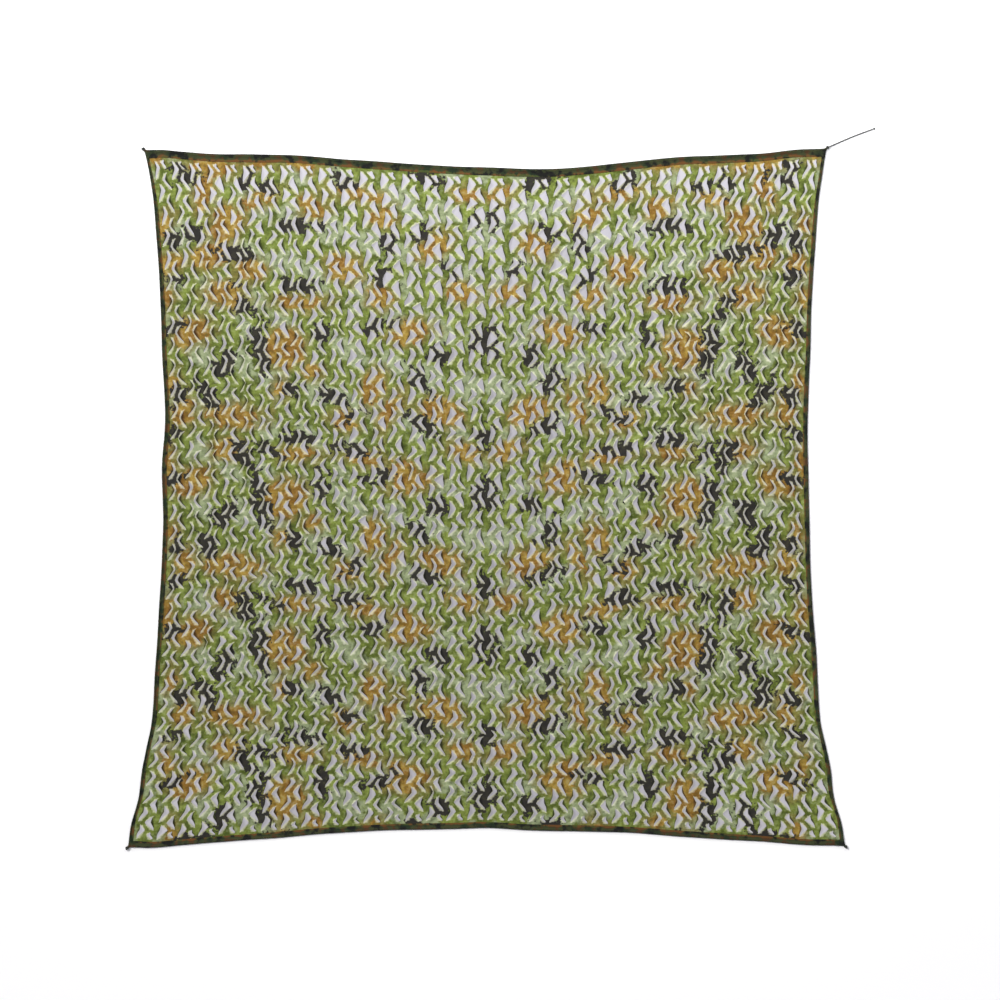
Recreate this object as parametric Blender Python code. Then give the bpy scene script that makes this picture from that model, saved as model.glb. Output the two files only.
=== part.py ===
"""A camouflage net of about 3.1 x 3.0 m, laid out flat as if drawn by its four corners.

One sheet of printed cloth is cut with rows of chevrons that point right and left in turn.
Each cut opens into a hole, and the tongue on its hollow side curls up. A tape with a cord in
its fold binds each side, a knot ends the cord at each corner, and a short tie leaves the
top right one. Metres, +Z up out of the floor, +X to the right and +Y up the net.
"""

import math
import random

import bmesh
import bpy
from mathutils import Vector

# Driving dimensions, in metres
GAP = 0.0003                 # between pieces that touch
CLOTH_THICKNESS = 0.002
KNOT_RADIUS = 0.008
KNOT_RIDGES = 3
KNOT_RIDGE_HEIGHT = 0.05     # share of the radius
KNOT_FLAT_SHARE = 0.88       # of the radius, from the middle down to the flat
TIE_DIAMETER = 0.005
END_KNOT_RADIUS = 0.005

# Where each corner knot's middle lies
# corner: (x, y)
CORNERS = {
    "top_left": (-1.470, 1.494),
    "top_right": (1.461, 1.501),
    "bottom_right": (1.540, -1.495),
    "bottom_left": (-1.540, -1.501),
}

# Each side, drawn in between its corners
# start and end: corners; inward: +1 if the net lies left of the way from start to end;
# width: of the binding; bow: (share of the way, distance drawn in)
SIDES = {
    "top": {
        "start": "top_left", "end": "top_right", "inward": -1, "width": 0.034,
        "bow": ((0, 0), (0.025, -0.003), (0.055, 0.005), (0.10, 0.015), (0.16, 0.018),
                (0.22, 0.021), (0.30, 0.041), (0.36, 0.053), (0.42, 0.065), (0.51, 0.077),
                (0.59, 0.083), (0.65, 0.072), (0.70, 0.058), (0.75, 0.042), (0.80, 0.030),
                (0.86, 0.025), (0.91, 0.018), (0.96, 0.002), (1, 0)),
    },
    "right": {
        "start": "bottom_right", "end": "top_right", "inward": 1, "width": 0.020,
        "bow": ((0, 0), (0.03, 0.010), (0.07, 0.041), (0.11, 0.052), (0.14, 0.067),
                (0.18, 0.090), (0.23, 0.096), (0.28, 0.101), (0.36, 0.112), (0.43, 0.115),
                (0.50, 0.114), (0.60, 0.111), (0.66, 0.102), (0.71, 0.091), (0.77, 0.081),
                (0.82, 0.070), (0.86, 0.058), (0.89, 0.050), (0.93, 0.036), (0.965, 0.018),
                (1, 0)),
    },
    "bottom": {
        "start": "bottom_left", "end": "bottom_right", "inward": 1, "width": 0.026,
        "bow": ((0, 0), (0.03, -0.004), (0.07, 0.006), (0.14, 0.023), (0.20, 0.036),
                (0.26, 0.052), (0.37, 0.070), (0.45, 0.074), (0.50, 0.078), (0.55, 0.069),
                (0.60, 0.065), (0.66, 0.061), (0.70, 0.056), (0.78, 0.038), (0.84, 0.026),
                (0.89, 0.016), (0.95, 0.002), (1, 0)),
    },
    "left": {
        "start": "bottom_left", "end": "top_left", "inward": -1, "width": 0.020,
        "bow": ((0, 0), (0.03, 0.008), (0.07, 0.038), (0.11, 0.050), (0.14, 0.066),
                (0.18, 0.088), (0.25, 0.096), (0.32, 0.105), (0.40, 0.114), (0.46, 0.116),
                (0.50, 0.112), (0.55, 0.106), (0.61, 0.115), (0.66, 0.106), (0.71, 0.095),
                (0.78, 0.084), (0.84, 0.069), (0.89, 0.055), (0.93, 0.042), (0.965, 0.024),
                (1, 0)),
    },
}

# Section of the binding, round a slot that holds the cloth's edge
# share of the binding's width from the outer edge, height, share of the ripple taken
BINDING_SECTION = (
    (0.10, 0.0000, 0.0),
    (0.00, 0.0030, 0.6),
    (0.02, 0.0065, 1.0),
    (0.14, 0.0095, 1.0),
    (0.32, 0.0090, 1.0),
    (0.47, 0.0054, 0.3),
    (1.00, 0.0050, 0.0),
    (1.00, 0.0038, 0.0),
    (0.45, 0.0038, 0.0),
    (0.45, 0.0012, 0.0),
    (1.00, 0.0012, 0.0),
    (1.00, 0.0000, 0.0),
)
BINDING_STATIONS = 35        # two to each column of cuts, and one more
BINDING_RIPPLE = 0.0012      # of its rolled edge, sideways, and half of that upwards
RIPPLE_WAVES = ((0.6, 33.0, 1.0), (0.4, 71.0, 2.3))    # height, turns in radians, shift
RIPPLE_FADE = 0.125          # share of the side's length over which the ripple sets in
SIDE_SHIFT = 1.7             # of the ripple, from one side to the next
EDGE_HEIGHT = 0.0012 + GAP   # of the cloth's underside, on the fold that lies under it
TUCK_SHARE = 0.58            # of the binding's width, where the cloth's edge lies
MARGIN = 0.008               # uncut cloth along the binding

# The cuts, drawn at twice the real pitch of 86 x 85 mm
ROWS = 17
COLUMNS = 17
HALF_COLUMNS = 2 * COLUMNS
NET_WIDTH = 2.90             # over which the columns share out, for a cut's own size
NET_HEIGHT = 2.86
TONGUE_LIFT = 0.014
TURN_SPREAD = math.radians(5)
SIZE_SPREAD = 0.06
SLIT_OPEN = 0.08             # of the tightest slits
MIDDLE_ENDS = 0.52           # of the half width, to which the open middle reaches
UPPER_STARTS = 0.72          # of the height, above which the middle gapes widest
FOOT_ENDS = 0.24             # of the height, below which the foot gapes

# Points of one cut that points right, from the middle of its cell
# name: (x when it is a slit, x when it is wide open, y, share of the tongue's lift)
CUT = {
    "upper_end": (-0.005, -0.005, 0.057, 0.0),
    "apex": (0.038, 0.042, 0.006, 0.0),
    "lower_end": (-0.033, -0.033, -0.060, 0.0),
    "lower_flank": (-0.016, -0.040, -0.030, 0.55),
    "tongue": (0.014, -0.034, 0.003, 1.0),
    "upper_flank": (-0.003, -0.026, 0.031, 0.55),
}

# Cloth round such a cut, between the cell's border and the hole, counter-clockwise
CELL_FACES = (
    ("bottom_middle", "bottom_front", "apex", "lower_end"),
    ("bottom_front", "top_front", "apex"),
    ("top_front", "top_middle", "upper_end", "apex"),
    ("top_middle", "top_back", "upper_end"),
    ("top_back", "upper_flank", "upper_end"),
    ("top_back", "tongue", "upper_flank"),
    ("top_back", "bottom_back", "tongue"),
    ("bottom_back", "lower_flank", "tongue"),
    ("bottom_back", "bottom_middle", "lower_end"),
    ("bottom_back", "lower_end", "lower_flank"),
)

# The tie's route, on the floor from the top right knot to its free end
# x, y, height of its middle
TIE_ROUTE = (
    (1.4684, 1.5042, 0.0062),
    (1.4780, 1.5083, 0.0056),
    (1.4920, 1.5145, 0.0040),
    (1.5120, 1.5232, 0.0028),
    (1.5370, 1.5340, 0.0026),
    (1.5640, 1.5455, 0.0026),
    (1.5910, 1.5562, 0.0026),
    (1.6180, 1.5662, 0.0026),
    (1.6430, 1.5752, 0.0026),
    (1.6550, 1.5797, 0.0030),
)
TIE_POINTS = 17

# name: (colour, roughness, metallic)
FINISHES = {
    "printed_cloth": ((0.25, 0.34, 0.12), 0.80, 0.0),
    "binding_tape": ((0.035, 0.050, 0.022), 0.85, 0.0),
    "dark_cord": ((0.030, 0.034, 0.028), 0.80, 0.0),
}


def clear_scene():
    for item in list(bpy.data.objects):
        bpy.data.objects.remove(item, do_unlink=True)


def make_finish(name):
    colour, roughness, metallic = FINISHES[name]
    finish = bpy.data.materials.new(name)
    finish.use_nodes = True
    shader = finish.node_tree.nodes["Principled BSDF"]
    shader.inputs["Base Color"].default_value = (*colour, 1.0)
    shader.inputs["Roughness"].default_value = roughness
    shader.inputs["Metallic"].default_value = metallic
    finish.diffuse_color = (*colour, 1.0)
    return finish


def add_object(name, bm, finish):
    """Turns a bmesh into a named object."""
    mesh = bpy.data.meshes.new(name)
    bm.to_mesh(mesh)
    bm.free()
    mesh.materials.append(finish)
    mesh.shade_smooth()
    mesh.set_sharp_from_angle(angle=math.radians(50))
    item = bpy.data.objects.new(name, mesh)
    bpy.context.scene.collection.objects.link(item)
    return item


def smooth_value(table, share):
    """Height at a share of the way of a smooth curve through a table's points."""
    last = len(table) - 1
    spot = max(i for i in range(last) if share >= table[i][0])

    def slope(i):
        low, high = max(i - 1, 0), min(i + 1, last)
        return (table[high][1] - table[low][1]) / (table[high][0] - table[low][0])

    (x0, y0), (x1, y1) = table[spot], table[spot + 1]
    run = x1 - x0
    s = (share - x0) / run
    return (
        y0 * (1 - s) ** 2 * (1 + 2 * s)
        + y1 * s * s * (3 - 2 * s)
        + slope(spot) * run * s * (1 - s) ** 2
        - slope(spot + 1) * run * s * s * (1 - s)
    )


def side_frame(side):
    """Start, unit way along the chord and unit way into the net of one side."""
    start = binding_corner(side["start"])
    along = (binding_corner(side["end"]) - start).normalized()
    inward = Vector((-along.y, along.x)) * side["inward"]
    return start, along, inward


def binding_corner(name):
    """The binding's sharp outer corner, low against the knot, clear of its widest point."""
    middle = Vector(CORNERS[name])
    return middle - middle.normalized() * KNOT_RADIUS


def inset_corner(name, share, extra=0.0):
    """Where the two sides at a corner meet, each moved in by a share of its binding."""
    lines = []
    for side in SIDES.values():
        if name in (side["start"], side["end"]):
            start, along, inward = side_frame(side)
            lines.append((start + inward * (share * side["width"] + extra), along))
    (p, d), (q, e) = lines
    reach = ((q.x - p.x) * e.y - (q.y - p.y) * e.x) / (d.x * e.y - d.y * e.x)
    return p + d * reach


def side_point(side, way, share, extra=0.0):
    """A point of a side's curve, moved into the net by a share of its binding."""
    start = inset_corner(side["start"], share, extra)
    end = inset_corner(side["end"], share, extra)
    bow = side_frame(side)[2] * smooth_value(side["bow"], way)
    return start.lerp(end, way) + bow


def ripple(way, phase):
    """How far a rolled edge strays sideways, nothing at its ends."""
    fade = min(1.0, way / RIPPLE_FADE, (1 - way) / RIPPLE_FADE)
    waves = sum(
        height * math.sin(turns * way + shift * phase) for height, turns, shift in RIPPLE_WAVES
    )
    return BINDING_RIPPLE * fade * waves


def make_binding(name, side, phase, finish):
    """One bound side: the section carried along the curve, cut off at its two mitres."""
    bm = bmesh.new()
    along = side_frame(side)[1]
    rings = []
    for station in range(BINDING_STATIONS):
        way = station / (BINDING_STATIONS - 1)
        wave = ripple(way, phase)
        mitre = along * GAP * ((station == 0) - (station == BINDING_STATIONS - 1))
        ring = []
        for share, height, taken in BINDING_SECTION:
            spot = side_point(side, way, share, wave * taken) + mitre
            ring.append(bm.verts.new((*spot, height + 0.5 * wave * taken)))
        rings.append(ring)
    count = len(BINDING_SECTION)
    for ring, following in zip(rings, rings[1:]):
        for i in range(count):
            j = (i + 1) % count
            bm.faces.new((ring[i], ring[j], following[j], following[i]))
    bm.faces.new(rings[0])
    bm.faces.new(rings[-1])
    bmesh.ops.recalc_face_normals(bm, faces=bm.faces)
    return add_object(name, bm, finish)


def cloth_point(u, v):
    """A point of the cut field, u across and v up, filled in between its four curved borders."""
    low, high = (side_point(SIDES[name], u, 1, MARGIN) for name in ("bottom", "top"))
    left, right = (side_point(SIDES[name], v, 1, MARGIN) for name in ("left", "right"))
    foot = inset_corner("bottom_left", 1, MARGIN).lerp(inset_corner("bottom_right", 1, MARGIN), u)
    head = inset_corner("top_left", 1, MARGIN).lerp(inset_corner("top_right", 1, MARGIN), u)
    return low.lerp(high, v) + left.lerp(right, u) - foot.lerp(head, v)


def step_at(place, value, softness):
    """A soft step from 0 to 1 as value passes place."""
    return 1 / (1 + math.exp((place - value) / softness))


def how_open(u, v):
    """From 0 for a slit to 1 for a wide hole: the net gapes up its middle and at its foot."""
    aside = abs(u - 0.5) * 2
    middle = 1 - step_at(MIDDLE_ENDS, aside, 0.07)
    upper = step_at(UPPER_STARTS, v, 0.08)
    foot = 1 - step_at(FOOT_ENDS, v, 0.055)
    return min(1.0, SLIT_OPEN + middle * (0.35 + 0.65 * upper) + 0.6 * foot)


def cut_points(bm, row, middle_u, chance):
    """The six points of one hole, in a row that points right if it is even."""
    facing = 1 if row % 2 == 0 else -1
    middle_v = (row + 0.5) / ROWS
    opened = how_open(middle_u, middle_v)
    turn = chance.uniform(-TURN_SPREAD, TURN_SPREAD)
    size = 1 + chance.uniform(-SIZE_SPREAD, SIZE_SPREAD)
    lift = TONGUE_LIFT * (0.7 + 0.3 * opened) * size
    points = {}
    for name, (slit, wide, up, raised) in CUT.items():
        x = (slit + (wide - slit) * opened) * size
        y = up * size
        across = facing * (x * math.cos(turn) - y * math.sin(turn))
        along = x * math.sin(turn) + y * math.cos(turn)
        spot = cloth_point(middle_u + across / NET_WIDTH, middle_v + along / NET_HEIGHT)
        points[name] = bm.verts.new((*spot, lift * raised))
    return points


def lay_lines(bm):
    """The points between rows of cuts, on the floor but for those along the binding."""
    lines = []
    for row in range(ROWS + 1):
        line = []
        for k in range(HALF_COLUMNS + 1):
            border = k in (0, HALF_COLUMNS) or row in (0, ROWS)
            spot = cloth_point(k / HALF_COLUMNS, row / ROWS)
            line.append(bm.verts.new((*spot, EDGE_HEIGHT if border else 0.0)))
        lines.append(line)
    return lines


def cut_row(bm, row, low, high, chance):
    """Cells with a hole each. Every second row points left and is moved on by half a cell."""
    shift = row % 2
    if shift:
        for k in (0, HALF_COLUMNS - 1):
            bm.faces.new((low[k], low[k + 1], high[k + 1], high[k]))
    for k in range(shift, HALF_COLUMNS - 1, 2):
        front, back = (k, k + 2) if shift else (k + 2, k)
        points = cut_points(bm, row, (k + 1) / HALF_COLUMNS, chance)
        points.update(
            bottom_front=low[front], bottom_middle=low[k + 1], bottom_back=low[back],
            top_front=high[front], top_middle=high[k + 1], top_back=high[back],
        )
        for names in CELL_FACES:
            corners = [points[name] for name in names]
            bm.faces.new(corners[::-1] if shift else corners)


def tuck_border(bm, side, line, turn, tucked):
    """Uncut cloth from one border line of the field out into the binding's slot."""
    spans = len(line) - 1
    between = HALF_COLUMNS // spans
    edge = []
    for station in range(HALF_COLUMNS + 1):
        spot = (*side_point(side, station / HALF_COLUMNS, TUCK_SHARE), EDGE_HEIGHT)
        if station in (0, HALF_COLUMNS):
            corner = line[station // between]
            if corner not in tucked:
                tucked[corner] = bm.verts.new(spot)
            edge.append(tucked[corner])
        else:
            edge.append(bm.verts.new(spot))
    for i in range(spans):
        outer = edge[i * between:(i + 1) * between + 1]
        corners = (*outer, line[i + 1], line[i])
        bm.faces.new(corners[::turn])


def make_cloth(finish):
    """The sheet's underside as one layer with its holes, then given its thickness."""
    bm = bmesh.new()
    chance = random.Random(11)
    lines = lay_lines(bm)
    for row in range(ROWS):
        cut_row(bm, row, lines[row], lines[row + 1], chance)
    tucked = {}
    tuck_border(bm, SIDES["bottom"], lines[0], 1, tucked)
    tuck_border(bm, SIDES["top"], lines[-1], -1, tucked)
    tuck_border(bm, SIDES["left"], [line[0] for line in lines], -1, tucked)
    tuck_border(bm, SIDES["right"], [line[-1] for line in lines], 1, tucked)
    item = add_object("net_cloth", bm, finish)
    cloth = item.modifiers.new("cloth thickness", "SOLIDIFY")
    cloth.thickness = CLOTH_THICKNESS
    cloth.offset = 1.0
    return item


def make_knot(name, x, y, radius, facing, finish):
    """A round knot, flat below: a ball with slanting ridges, of which one faces its neighbour."""
    bm = bmesh.new()
    bmesh.ops.create_uvsphere(bm, u_segments=12, v_segments=8, radius=radius)
    for vert in bm.verts:
        around = math.atan2(vert.co.y, vert.co.x)
        rise = vert.co.z / radius
        ridge = math.cos(KNOT_RIDGES * around + 2 * rise) * (1 - rise * rise)
        reach = math.hypot(vert.co.x, vert.co.y) * (1 + KNOT_RIDGE_HEIGHT * ridge)
        height = max(vert.co.z, -radius * KNOT_FLAT_SHARE) + radius * KNOT_FLAT_SHARE
        turned = around + facing
        vert.co = Vector((x + reach * math.cos(turned), y + reach * math.sin(turned), height))
    return add_object(name, bm, finish)


def make_tie(finish):
    """A round cord along its route, with closed ends."""
    distances = [0.0]
    for point, following in zip(TIE_ROUTE, TIE_ROUTE[1:]):
        distances.append(distances[-1] + math.dist(point, following))
    tables = [
        [(distance, point[axis]) for distance, point in zip(distances, TIE_ROUTE)]
        for axis in range(3)
    ]
    curve = bpy.data.curves.new("tie_cord", "CURVE")
    curve.dimensions = "3D"
    curve.bevel_depth = TIE_DIAMETER / 2
    curve.bevel_resolution = 2
    curve.use_fill_caps = True
    spline = curve.splines.new("POLY")
    spline.points.add(TIE_POINTS - 1)
    for i, point in enumerate(spline.points):
        distance = distances[-1] * i / (TIE_POINTS - 1)
        point.co = (*[smooth_value(table, distance) for table in tables], 1.0)
    curve.materials.append(finish)
    item = bpy.data.objects.new("tie_cord", curve)
    bpy.context.scene.collection.objects.link(item)
    return item


def main():
    clear_scene()
    cloth_finish = make_finish("printed_cloth")
    tape_finish = make_finish("binding_tape")
    cord_finish = make_finish("dark_cord")
    make_cloth(cloth_finish)
    for count, (name, side) in enumerate(SIDES.items()):
        make_binding("binding_" + name, side, count * SIDE_SHIFT, tape_finish)
    for name, (x, y) in CORNERS.items():
        make_knot("knot_" + name, x, y, KNOT_RADIUS, math.atan2(-y, -x), cord_finish)
    make_tie(cord_finish)
    end = Vector(TIE_ROUTE[-1][:2])
    onward = (end - Vector(TIE_ROUTE[-2][:2])).normalized()
    x, y = end + onward * (END_KNOT_RADIUS * (1 + KNOT_RIDGE_HEIGHT) + GAP)
    back = math.atan2(-onward.y, -onward.x)
    make_knot("tie_end_knot", x, y, END_KNOT_RADIUS, back, cord_finish)


main()
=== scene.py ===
# Looks of the camouflage net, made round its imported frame: printed cloth with 2,278 chevron
# cuts and 68 short ones, four bound sides with a cord in their fold, a knot at each corner and
# a short tie at the top right one. Metres, +Z out of the floor, +X to the right, +Y up the net.

import bpy
import numpy as np
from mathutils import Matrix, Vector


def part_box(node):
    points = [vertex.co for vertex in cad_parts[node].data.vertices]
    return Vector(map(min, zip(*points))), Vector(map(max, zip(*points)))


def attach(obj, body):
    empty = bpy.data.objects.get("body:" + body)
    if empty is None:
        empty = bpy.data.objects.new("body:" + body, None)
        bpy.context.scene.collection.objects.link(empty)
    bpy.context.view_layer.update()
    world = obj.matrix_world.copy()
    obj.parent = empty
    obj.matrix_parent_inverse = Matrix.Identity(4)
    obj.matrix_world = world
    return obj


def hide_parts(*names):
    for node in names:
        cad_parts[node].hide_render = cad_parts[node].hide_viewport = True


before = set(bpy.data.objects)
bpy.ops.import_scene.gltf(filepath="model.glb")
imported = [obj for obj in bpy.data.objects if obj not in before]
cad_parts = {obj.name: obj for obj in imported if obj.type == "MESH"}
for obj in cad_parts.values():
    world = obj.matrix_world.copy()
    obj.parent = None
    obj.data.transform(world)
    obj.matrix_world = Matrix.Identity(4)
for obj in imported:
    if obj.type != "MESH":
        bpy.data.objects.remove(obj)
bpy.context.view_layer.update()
body = "root"


# Shader maths: a Link is one output socket, and arithmetic on it adds Math nodes

class Link:
    def __init__(self, finish, socket):
        self.finish = finish
        self.socket = socket

    def maths(self, operation, first, second=0.0, clamped=False):
        settings = {"operation": operation, "use_clamp": clamped}
        return self.finish.add("ShaderNodeMath", settings, {0: first, 1: second})

    def __add__(self, other):
        return self.maths("ADD", self, other)

    def __radd__(self, other):
        return self.maths("ADD", other, self)

    def __sub__(self, other):
        return self.maths("SUBTRACT", self, other)

    def __rsub__(self, other):
        return self.maths("SUBTRACT", other, self)

    def __mul__(self, other):
        return self.maths("MULTIPLY", self, other)

    def __rmul__(self, other):
        return self.maths("MULTIPLY", other, self)

    def __pow__(self, other):
        return self.maths("POWER", self, other)

    def __rpow__(self, other):
        return self.maths("POWER", other, self)

    def sine(self):
        return self.maths("SINE", self)

    def held(self):    # kept within 0 and 1
        return self.maths("ADD", self, 0.0, True)


class Finish:
    # One material: add() makes any node, with its settings first and then its sockets
    def __init__(self, name, roughness, sheen=0.0):
        self.material = bpy.data.materials.new(name)
        self.material.use_nodes = True
        self.tree = self.material.node_tree
        self.surface = self.tree.nodes["Principled BSDF"]
        self.surface.inputs["Roughness"].default_value = roughness
        self.surface.inputs["Sheen Weight"].default_value = sheen
        self.surface.inputs["Specular IOR Level"].default_value = 0.3    # dull, as all here is

    def add(self, kind, settings, sockets, output=0):
        node = self.tree.nodes.new(kind)
        for name, value in settings.items():
            setattr(node, name, value)
        for name, value in sockets.items():
            self.fill(node.inputs[name], value)
        return Link(self, node.outputs[output])

    def fill(self, socket, value):
        if isinstance(value, Link):
            self.tree.links.new(value.socket, socket)
        else:
            socket.default_value = value

    def feed(self, name, value):
        self.fill(self.surface.inputs[name], value)

    def read(self, name):    # a number that the mesh carries
        return self.add("ShaderNodeAttribute", {"attribute_name": name}, {}, 2)

    def mapOf(self, name):
        return self.add("ShaderNodeUVMap", {"uv_map": name}, {})

    def place(self):
        return self.add("ShaderNodeTexCoord", {}, {}, 3)

    def apart(self, vector, axis):
        return self.add("ShaderNodeSeparateXYZ", {}, {0: vector}, axis)

    def noise(self, where, scale, detail=2.0, rough=0.5):
        sockets = {"Vector": where, "Scale": scale, "Detail": detail, "Roughness": rough}
        return self.add("ShaderNodeTexNoise", {}, sockets)

    def noises(self, where, settings):
        return {name: self.noise(where, *setting) for name, setting in settings.items()}

    def gamma(self, shade, power):
        return self.add("ShaderNodeGamma", {}, {0: shade, 1: power})

    def mix(self, share, below, above):
        return self.add("ShaderNodeMix", {"data_type": "RGBA"}, {0: share, 6: below, 7: above}, 2)

    def bump(self, height, distance, strength=1.0):
        sockets = {"Height": height, "Distance": distance, "Strength": strength}
        self.feed("Normal", self.add("ShaderNodeBump", {}, sockets))


def laid(finish, fields, shade, *coats):
    # Colours laid over the first one, each by a soft step: (field - start) * gain, held within
    # 0 and 1, times a share. A colour may be laid up itself
    for tint, name, start, gain, share in coats:
        if isinstance(tint, tuple) and isinstance(tint[0], tuple):
            tint = laid(finish, fields, *tint)
        shade = finish.mix(((fields[name] - start) * gain).held() * share, shade, tint)
    return shade


def colour(red, green, blue):
    # A screen colour of 0 to 255 as the linear one that a socket takes
    share = np.array([red, green, blue]) / 255
    linear = np.where(share <= 0.04045, share / 12.92, ((share + 0.055) / 1.055) ** 2.4)
    return (*linear.tolist(), 1.0)


# Meshes

def makePiece(name, points, faces, finish, maps=None, numbers=None):
    # points: an (n, 3) array; faces: lists of corner numbers; maps: name, (n, 2) array
    mesh = bpy.data.meshes.new(name)
    mesh.from_pydata(points.tolist(), [], faces)
    corners = np.empty(len(mesh.loops), np.int32)
    mesh.loops.foreach_get("vertex_index", corners)
    for label, spots in (maps or {}).items():
        layer = mesh.uv_layers.new(name=label)
        layer.data.foreach_set("uv", spots[corners].astype(np.float32).ravel())
    for label, values in (numbers or {}).items():
        carried = mesh.attributes.new(label, "FLOAT", "POINT")
        carried.data.foreach_set("value", values.astype(np.float32))
    mesh.materials.append(finish.material)
    mesh.shade_smooth()
    mesh.update()
    piece = bpy.data.objects.new(name, mesh)
    bpy.context.scene.collection.objects.link(piece)
    return piece


def gridFaces(rows, columns, closed=False, looped=False):
    # Quads between the points of a grid, whose rows are rings where it is closed, and whose
    # last row meets the first where it is looped
    column = np.arange(columns if closed else columns - 1)
    low = np.arange(rows if looped else rows - 1)[:, None] * columns
    high = (low + columns) % (rows * columns)
    onward = (column + 1) % columns
    quads = [low + column, low + onward, high + onward, high + column]
    return np.stack(quads, -1).reshape(-1, 4)


def smoothAlong(table, share):
    # Height of a cubic through the table's points, each slope set by the points beside it
    x, y = np.array(table, float).T
    low, high = np.maximum(np.arange(len(x)) - 1, 0), np.minimum(np.arange(len(x)) + 1, len(x) - 1)
    slope = (y[high] - y[low]) / (x[high] - x[low])
    i = np.clip(np.searchsorted(x, share, side="right") - 1, 0, len(x) - 2)
    run = x[i + 1] - x[i]
    s = (share - x[i]) / run
    return (
        y[i] * (1 - s) ** 2 * (1 + 2 * s) + y[i + 1] * s * s * (3 - 2 * s)
        + slope[i] * run * s * (1 - s) ** 2 - slope[i + 1] * run * s * s * (1 - s)
    )


def stepAt(place, value, softness):
    # A soft step from 0 to 1 as value passes place
    return 1 / (1 + np.exp((place - value) / softness))


def waves(x, y, length, seed, count=7):
    # Smooth noise from about -1 to 1: sines of random way and shift, near one wavelength
    chance = np.random.default_rng(seed)
    way = chance.uniform(0, 2 * np.pi, count)
    shift = chance.uniform(0, 2 * np.pi, count)
    turns = 2 * np.pi / (length * chance.uniform(0.7, 1.5, count))
    total = 0.0
    for k in range(count):
        total = total + np.sin(turns[k] * (x * np.cos(way[k]) + y * np.sin(way[k])) + shift[k])
    return total / np.sqrt(count)


# Camera, in line with the photograph: straight down on the net

camera = {"over": (0.058, -0.009, 10.12), "lens": 85.0, "sensor": 36.0}


def hang(name, data, place):
    # The camera, or a lamp, in its place
    holder = bpy.data.objects.new(name, data)
    holder.location = place
    bpy.context.scene.collection.objects.link(holder)
    return holder


def placeCamera():
    lens = bpy.data.cameras.new("camera")
    lens.lens = camera["lens"]
    lens.sensor_width = camera["sensor"]
    bpy.context.scene.camera = hang("camera", lens, camera["over"])


placeCamera()
print("camera placed")


# Dark cord, twisted from three strands: the tie and the knots

cord = {
    "thickness": 0.005,
    "strands": 3,
    "groove": 0.20,        # depth between two strands, as a share of the radius
    "lay": 0.016,          # length of one full twist
    "around": 24,
    "dark": colour(30, 34, 30),
    "worn": colour(86, 90, 80),
    "roughness": 0.8, "sheen": 0.2,
    "yarns": (5200.0, 60.0),    # radians to a metre along the cord, and to a turn round it
    "dirt": (90.0, 3.0),        # noise scale and detail
    "wornFrom": 0.55, "wornGain": 1.6, "wornShare": 0.55,
    "fuzz": (0.6, 0.0004, 0.5),    # share of the yarns, height, strength
}
tie = {
    "route": (             # as in the CAD, from the knot to the free end
        (1.4684, 1.5042, 0.0062), (1.4780, 1.5083, 0.0056), (1.4920, 1.5145, 0.0040),
        (1.5120, 1.5232, 0.0028), (1.5370, 1.5340, 0.0026), (1.5640, 1.5455, 0.0026),
        (1.5910, 1.5562, 0.0026), (1.6180, 1.5662, 0.0026), (1.6430, 1.5752, 0.0026),
        (1.6550, 1.5797, 0.0030),
    ),
    "stations": 200,
    "flatSide": (-0.4, 0.9, 0.0),    # a way across it, from which its twist is counted
}
knots = {
    "stations": 120,
    "tighter": 0.6,        # lay of their cord, as a share of the tie's
    "end": (0.0019, 0.4),  # radius of the cord and turn of the knot, at the tie's free end
    "corner": (0.0026, 0.3, 1.1),    # radius, turn, and turn from each corner to the next
}


def cordFinish():
    # Twisted strands are in the mesh; the finish adds the yarns, and wear on the crowns
    finish = Finish("twistedCord", cord["roughness"], cord["sheen"])
    along = finish.mapOf("cordMap")
    onward, turned = cord["yarns"]
    yarns = (finish.apart(along, 0) * onward + finish.apart(along, 1) * turned).sine()
    dirt = finish.noise(finish.place(), *cord["dirt"])
    crowns = (finish.read("crown") - cord["wornFrom"]) * cord["wornGain"]
    worn = (crowns + (dirt - 0.5)).held() * cord["wornShare"]
    finish.feed("Base Color", finish.mix(worn, cord["dark"], cord["worn"]))
    yarnShare, height, strength = cord["fuzz"]
    finish.bump(yarns * yarnShare + dirt, height, strength)
    return finish


def throughPoints(route, count):
    # The CAD's own curve: a cubic through the route's points by distance, evenly walked
    spots = np.array(route)
    steps = np.linalg.norm(np.diff(spots, axis=0), axis=1)
    reach = np.concatenate([[0.0], np.cumsum(steps)])
    share = np.linspace(0, reach[-1], count)
    return np.stack(
        [smoothAlong(list(zip(reach, spots[:, axis])), share) for axis in range(3)], -1
    )


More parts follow.
